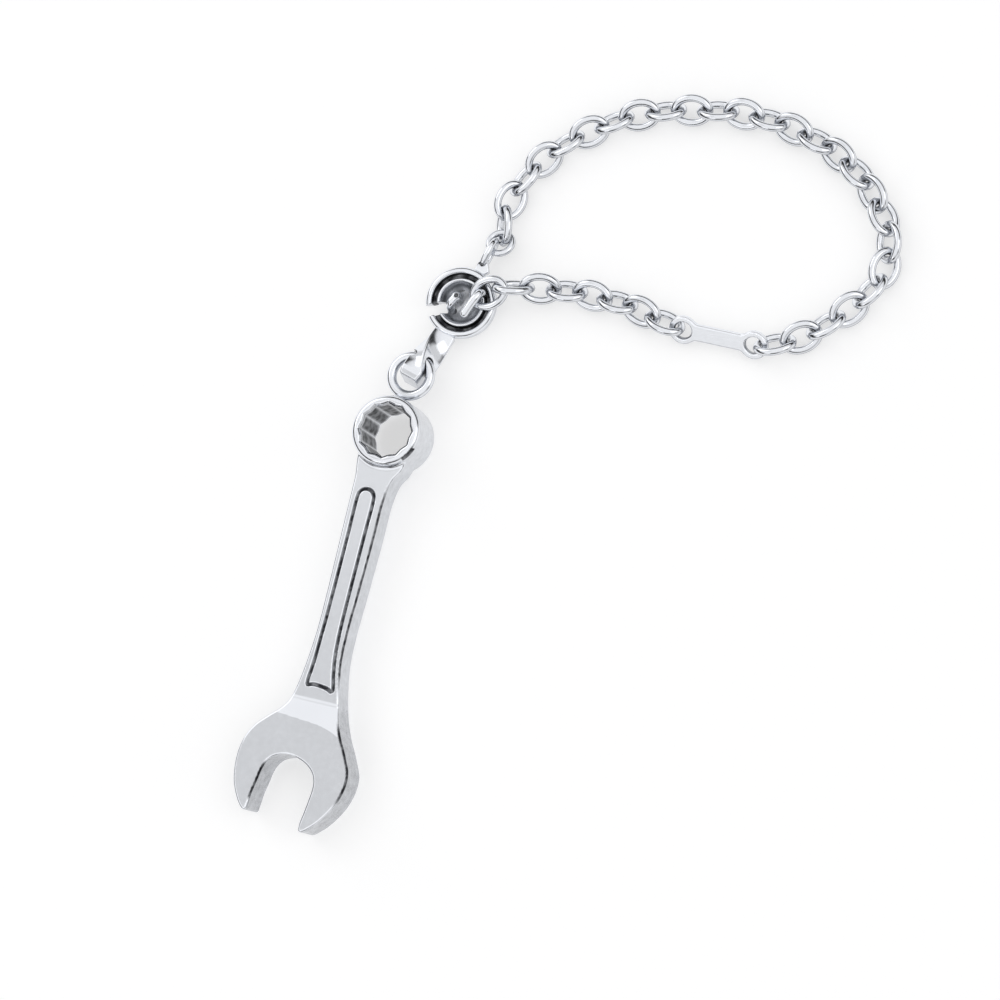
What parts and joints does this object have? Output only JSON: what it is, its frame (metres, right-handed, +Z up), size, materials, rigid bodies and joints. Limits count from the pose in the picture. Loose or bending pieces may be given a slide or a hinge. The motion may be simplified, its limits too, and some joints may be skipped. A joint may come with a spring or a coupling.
{
  "type": "spanner key ring",
  "caption": "Key ring: a miniature combination spanner on a round loop, a cup-shaped hook clasp with a twisted strap, and a closed loop of oval cable chain with a two-eyed tag plate.",
  "frame": {"origin": "centre of the footprint of the whole object, on the surface it lies on", "axes": "+Y from the spanner's jaw towards its ring end and the clasp, +X from the clasp along the chain loop, +Z up off the surface it lies on"},
  "size_m": [0.0584, 0.0894, 0.0063],
  "materials": {
    "spanner_silver": "polished, with darkened recesses",
    "clasp_silver": "polished, with blackened groove and bowl",
    "chain_silver": "polished wire with oxidised contact spots",
    "tag_silver": "polished flat plate"
  },
  "bodies": {
    "clasp": {"clasp_shell": "clasp_silver", "clasp_liner": "clasp_silver", "clasp_hook": "clasp_silver", "clasp_tab": "clasp_silver", "clasp_eyelet": "clasp_silver", "clasp_bail": "clasp_silver"},
    "spanner": {"spanner_body": "spanner_silver", "spanner_loop": "spanner_silver"},
    "jump_ring": {"jump_ring": "chain_silver"},
    "link_02": {"link_02": "chain_silver"},
    "link_03": {"link_03": "chain_silver"},
    "link_04": {"link_04": "chain_silver"},
    "link_05": {"link_05": "chain_silver"},
    "link_06": {"link_06": "chain_silver"},
    "link_07": {"link_07": "chain_silver"},
    "link_08": {"link_08": "chain_silver"},
    "link_09": {"link_09": "chain_silver"},
    "link_10": {"link_10": "chain_silver"},
    "link_11": {"link_11": "chain_silver"},
    "link_12": {"link_12": "chain_silver"},
    "link_13": {"link_13": "chain_silver"},
    "link_14": {"link_14": "chain_silver"},
    "link_15": {"link_15": "chain_silver"},
    "link_16": {"link_16": "chain_silver"},
    "link_17": {"link_17": "chain_silver"},
    "link_18": {"link_18": "chain_silver"},
    "link_19": {"link_19": "chain_silver"},
    "link_20": {"link_20": "chain_silver"},
    "link_21": {"link_21": "chain_silver"},
    "link_22": {"link_22": "chain_silver"},
    "link_23": {"link_23": "chain_silver"},
    "link_24": {"link_24": "chain_silver"},
    "link_25": {"link_25": "chain_silver"},
    "link_26": {"link_26": "chain_silver"},
    "link_27": {"link_27": "chain_silver"},
    "tag_plate": {"tag_plate": "tag_silver"},
    "link_29": {"link_29": "chain_silver"},
    "link_30": {"link_30": "chain_silver"},
    "link_31": {"link_31": "chain_silver"},
    "link_32": {"link_32": "chain_silver"},
    "link_33": {"link_33": "chain_silver"},
    "link_34": {"link_34": "chain_silver"},
    "link_35": {"link_35": "chain_silver"},
    "link_36": {"link_36": "chain_silver"}
  },
  "joints": [
    {"name": "spanner_swing", "type": "hinge", "parent": "clasp", "child": "spanner", "pos_m": [-0.02108, 0.00698, 0.00329], "axis": [0, -0.0229, 0.9997], "range_deg": [-110, 75]},
    {"name": "loop_swing", "type": "hinge", "parent": "clasp", "child": "jump_ring", "pos_m": [-0.01635, 0.02302, 0.00191], "axis": [0.0811, -0.9734, 0.2142], "range_deg": [0, 22]},
    {"name": "loop_squeeze", "type": "hinge", "parent": "jump_ring", "child": "link_02", "pos_m": [-0.01516, 0.02461, 0.00161], "axis": [0, 0, 1], "range_deg": [-6, 6]},
    {"name": "bend_03", "type": "hinge", "parent": "link_02", "child": "link_03", "pos_m": [-0.01583, 0.0275, 0.00176], "axis": [0, 0, 1], "range_deg": [-9.66, 9.66]},
    {"name": "bend_04", "type": "hinge", "parent": "link_03", "child": "link_04", "pos_m": [-0.0151, 0.03038, 0.00176], "axis": [0, 0, 1], "range_deg": [-9.24, 9.24]},
    {"name": "bend_05", "type": "hinge", "parent": "link_04", "child": "link_05", "pos_m": [-0.01375, 0.03302, 0.00176], "axis": [0, 0, 1], "range_deg": [-5.45, 5.45]},
    {"name": "bend_06", "type": "hinge", "parent": "link_05", "child": "link_06", "pos_m": [-0.01198, 0.03541, 0.00176], "axis": [0, 0, 1], "range_deg": [-5.29, 5.29]},
    {"name": "bend_07", "type": "hinge", "parent": "link_06", "child": "link_07", "pos_m": [-0.00976, 0.03739, 0.00176], "axis": [0, 0, 1], "range_deg": [-8.44, 8.44]},
    {"name": "bend_08", "type": "hinge", "parent": "link_07", "child": "link_08", "pos_m": [-0.00731, 0.03907, 0.00176], "axis": [0, 0, 1], "range_deg": [-9.77, 9.77]},
    {"name": "bend_09", "type": "hinge", "parent": "link_08", "child": "link_09", "pos_m": [-0.00474, 0.04056, 0.00176], "axis": [0, 0, 1], "range_deg": [-10.04, 10.04]},
    {"name": "bend_10", "type": "hinge", "parent": "link_09", "child": "link_10", "pos_m": [-0.00198, 0.04165, 0.00176], "axis": [0, 0, 1], "range_deg": [-9.12, 9.12]},
    {"name": "bend_11", "type": "hinge", "parent": "link_10", "child": "link_11", "pos_m": [0.00091, 0.04237, 0.00176], "axis": [0, 0, 1], "range_deg": [-7.52, 7.52]},
    {"name": "bend_12", "type": "hinge", "parent": "link_11", "child": "link_12", "pos_m": [0.00384, 0.04287, 0.00176], "axis": [0, 0, 1], "range_deg": [-6, 6]},
    {"name": "bend_13", "type": "hinge", "parent": "link_12", "child": "link_13", "pos_m": [0.00679, 0.04318, 0.00176], "axis": [0, 0, 1], "range_deg": [-4.73, 4.73]},
    {"name": "bend_14", "type": "hinge", "parent": "link_13", "child": "link_14", "pos_m": [0.00976, 0.04317, 0.00176], "axis": [0, 0, 1], "range_deg": [-3.51, 3.51]},
    {"name": "bend_15", "type": "hinge", "parent": "link_14", "child": "link_15", "pos_m": [0.01271, 0.04276, 0.00176], "axis": [0, 0, 1], "range_deg": [-3.63, 3.63]},
    {"name": "bend_16", "type": "hinge", "parent": "link_15", "child": "link_16", "pos_m": [0.01559, 0.04204, 0.00176], "axis": [0, 0, 1], "range_deg": [-4.67, 4.67]},
    {"name": "bend_17", "type": "hinge", "parent": "link_16", "child": "link_17", "pos_m": [0.0184, 0.04106, 0.00176], "axis": [0, 0, 1], "range_deg": [-5.7, 5.7]},
    {"name": "bend_18", "type": "hinge", "parent": "link_17", "child": "link_18", "pos_m": [0.02102, 0.03966, 0.00176], "axis": [0, 0, 1], "range_deg": [-6.56, 6.56]},
    {"name": "bend_19", "type": "hinge", "parent": "link_18", "child": "link_19", "pos_m": [0.02336, 0.03784, 0.00176], "axis": [0, 0, 1], "range_deg": [-7.28, 7.28]},
    {"name": "bend_20", "type": "hinge", "parent": "link_19", "child": "link_20", "pos_m": [0.02539, 0.03567, 0.00176], "axis": [0, 0, 1], "range_deg": [-8.31, 8.31]},
    {"name": "bend_21", "type": "hinge", "parent": "link_20", "child": "link_21", "pos_m": [0.027, 0.03317, 0.00176], "axis": [0, 0, 1], "range_deg": [-9.61, 9.61]},
    {"name": "bend_22", "type": "hinge", "parent": "link_21", "child": "link_22", "pos_m": [0.02785, 0.03032, 0.00176], "axis": [0, 0, 1], "range_deg": [-9.67, 9.67]},
    {"name": "bend_23", "type": "hinge", "parent": "link_22", "child": "link_23", "pos_m": [0.02743, 0.02738, 0.00176], "axis": [0, 0, 1], "range_deg": [-7.01, 7.01]},
    {"name": "bend_24", "type": "hinge", "parent": "link_23", "child": "link_24", "pos_m": [0.0259, 0.02483, 0.00176], "axis": [0, 0, 1], "range_deg": [-3.82, 3.82]},
    {"name": "bend_25", "type": "hinge", "parent": "link_24", "child": "link_25", "pos_m": [0.02394, 0.02259, 0.00176], "axis": [0, 0, 1], "range_deg": [-4.79, 4.79]},
    {"name": "bend_26", "type": "hinge", "parent": "link_25", "child": "link_26", "pos_m": [0.02176, 0.02057, 0.00176], "axis": [0, 0, 1], "range_deg": [-8.2, 8.2]},
    {"name": "bend_27", "type": "hinge", "parent": "link_26", "child": "link_27", "pos_m": [0.01929, 0.01892, 0.00176], "axis": [0, 0, 1], "range_deg": [-12.75, 12.75]},
    {"name": "bend_tag", "type": "hinge", "parent": "link_27", "child": "tag_plate", "pos_m": [0.01649, 0.01794, 0.00176], "axis": [0, 0, 1], "range_deg": [-15.6, 15.6]},
    {"name": "bend_29", "type": "hinge", "parent": "tag_plate", "child": "link_29", "pos_m": [0.00673, 0.01818, 0.00176], "axis": [0, 0, 1], "range_deg": [-12.38, 12.38]},
    {"name": "bend_30", "type": "hinge", "parent": "link_29", "child": "link_30", "pos_m": [0.00386, 0.01894, 0.00176], "axis": [0, 0, 1], "range_deg": [-4.97, 4.97]},
    {"name": "bend_31", "type": "hinge", "parent": "link_30", "child": "link_31", "pos_m": [0.00097, 0.01962, 0.00176], "axis": [0, 0, 1], "range_deg": [-6.48, 6.48]},
    {"name": "bend_32", "type": "hinge", "parent": "link_31", "child": "link_32", "pos_m": [-0.00199, 0.01996, 0.00176], "axis": [0, 0, 1], "range_deg": [-8.48, 8.48]},
    {"name": "bend_33", "type": "hinge", "parent": "link_32", "child": "link_33", "pos_m": [-0.00496, 0.02006, 0.00176], "axis": [0, 0, 1], "range_deg": [-8.89, 8.89]},
    {"name": "bend_34", "type": "hinge", "parent": "link_33", "child": "link_34", "pos_m": [-0.00791, 0.01981, 0.002], "axis": [0, 0, 1], "range_deg": [-7.58, 7.58]},
    {"name": "bend_35", "type": "hinge", "parent": "link_34", "child": "link_35", "pos_m": [-0.01072, 0.0193, 0.00281], "axis": [0, 0, 1], "range_deg": [-4.7, 4.7]},
    {"name": "bend_36", "type": "hinge", "parent": "link_35", "child": "link_36", "pos_m": [-0.01336, 0.0185, 0.00391], "axis": [0, 0, 1], "range_deg": [-5.45, 5.45]}
  ],
  "couplings": [
    {"joint": "bend_03", "follows": "loop_squeeze", "ratio": 0.8539},
    {"joint": "bend_04", "follows": "loop_squeeze", "ratio": 0.8003},
    {"joint": "bend_05", "follows": "loop_squeeze", "ratio": 0.3147},
    {"joint": "bend_06", "follows": "loop_squeeze", "ratio": -0.2941},
    {"joint": "bend_07", "follows": "loop_squeeze", "ratio": -0.6969},
    {"joint": "bend_08", "follows": "loop_squeeze", "ratio": -0.8677},
    {"joint": "bend_09", "follows": "loop_squeeze", "ratio": -0.9026},
    {"joint": "bend_10", "follows": "loop_squeeze", "ratio": -0.785},
    {"joint": "bend_11", "follows": "loop_squeeze", "ratio": -0.5801},
    {"joint": "bend_12", "follows": "loop_squeeze", "ratio": -0.3847},
    {"joint": "bend_13", "follows": "loop_squeeze", "ratio": -0.2212},
    {"joint": "bend_14", "follows": "loop_squeeze", "ratio": -0.0658},
    {"joint": "bend_15", "follows": "loop_squeeze", "ratio": 0.0807},
    {"joint": "bend_16", "follows": "loop_squeeze", "ratio": 0.2141},
    {"joint": "bend_17", "follows": "loop_squeeze", "ratio": 0.3464},
    {"joint": "bend_18", "follows": "loop_squeeze", "ratio": 0.4559},
    {"joint": "bend_19", "follows": "loop_squeeze", "ratio": 0.5481},
    {"joint": "bend_20", "follows": "loop_squeeze", "ratio": 0.6805},
    {"joint": "bend_21", "follows": "loop_squeeze", "ratio": 0.8479},
    {"joint": "bend_22", "follows": "loop_squeeze", "ratio": 0.8557},
    {"joint": "bend_23", "follows": "loop_squeeze", "ratio": 0.5146},
    {"joint": "bend_24", "follows": "loop_squeeze", "ratio": 0.1051},
    {"joint": "bend_25", "follows": "loop_squeeze", "ratio": -0.2289},
    {"joint": "bend_26", "follows": "loop_squeeze", "ratio": -0.6663},
    {"joint": "bend_27", "follows": "loop_squeeze", "ratio": -1.2497},
    {"joint": "bend_tag", "follows": "loop_squeeze", "ratio": -1.6149},
    {"joint": "bend_29", "follows": "loop_squeeze", "ratio": -1.2022},
    {"joint": "bend_30", "follows": "loop_squeeze", "ratio": -0.2523},
    {"joint": "bend_31", "follows": "loop_squeeze", "ratio": 0.4462},
    {"joint": "bend_32", "follows": "loop_squeeze", "ratio": 0.7024},
    {"joint": "bend_33", "follows": "loop_squeeze", "ratio": 0.7548},
    {"joint": "bend_34", "follows": "loop_squeeze", "ratio": 0.587},
    {"joint": "bend_35", "follows": "loop_squeeze", "ratio": 0.2181},
    {"joint": "bend_36", "follows": "loop_squeeze", "ratio": -0.3142}
  ]
}
